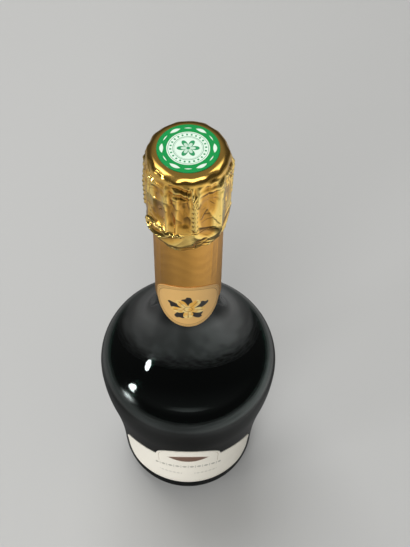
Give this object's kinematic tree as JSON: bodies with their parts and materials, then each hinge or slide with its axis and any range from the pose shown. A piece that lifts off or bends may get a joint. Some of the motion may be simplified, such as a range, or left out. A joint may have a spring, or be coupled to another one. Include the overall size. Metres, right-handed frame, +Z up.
{
  "type": "champagne bottle",
  "caption": "Full sparkling wine bottle of dark glass with a low flared body and slim neck, corked, wired, foiled and labelled; foil, wire cage and cork lift off.",
  "frame": {"origin": "centre of the base, on the surface the bottle stands on", "axes": "+Z up along the bottle's axis, -Y towards the front with both labels, +X to the right as seen from the front"},
  "size_m": [0.1032, 0.1032, 0.3048],
  "materials": {
    "bottle_glass": "very dark green glass, polished",
    "wine": "clear pale gold liquid",
    "ground_cork": "ground cork, glued grains, matte",
    "whole_cork": "natural cork with pores, matte",
    "plate_metal": "lacquered tinplate",
    "cage_wire": "drawn galvanised wire",
    "hood_foil": "glossy gold lacquered foil, creased",
    "disc_print": "green print on foil, satin",
    "sleeve_foil": "satin gold foil, pressed smooth",
    "neck_label_paper": "gold metallised paper, satin",
    "label_paper": "cream laid paper, matte"
  },
  "bodies": {
    "bottle": {"glass_bottle": "bottle_glass", "wine": "wine", "foil_sleeve": "sleeve_foil", "foil_skirt": "hood_foil", "neck_label": "neck_label_paper", "body_label": "label_paper"},
    "cork": {"cork_body": "ground_cork", "cork_disc_upper": "whole_cork", "cork_disc_lower": "whole_cork"},
    "cage": {"cage_plate": "plate_metal", "cage_frame": "cage_wire", "cage_belt": "cage_wire"},
    "hood": {"foil_cap": "hood_foil", "top_disc": "disc_print"}
  },
  "joints": [
    {"name": "cork_pull", "type": "slide", "parent": "bottle", "child": "cork", "axis": [0, 0, 1], "range_m": [0, 0.05]},
    {"name": "cage_lift", "type": "slide", "parent": "cork", "child": "cage", "axis": [0, 0, 1], "range_m": [0, 0.045], "deforming": ["cage_belt"]},
    {"name": "hood_lift", "type": "slide", "parent": "cage", "child": "hood", "axis": [0, 0, 1], "range_m": [0, 0.045]}
  ]
}
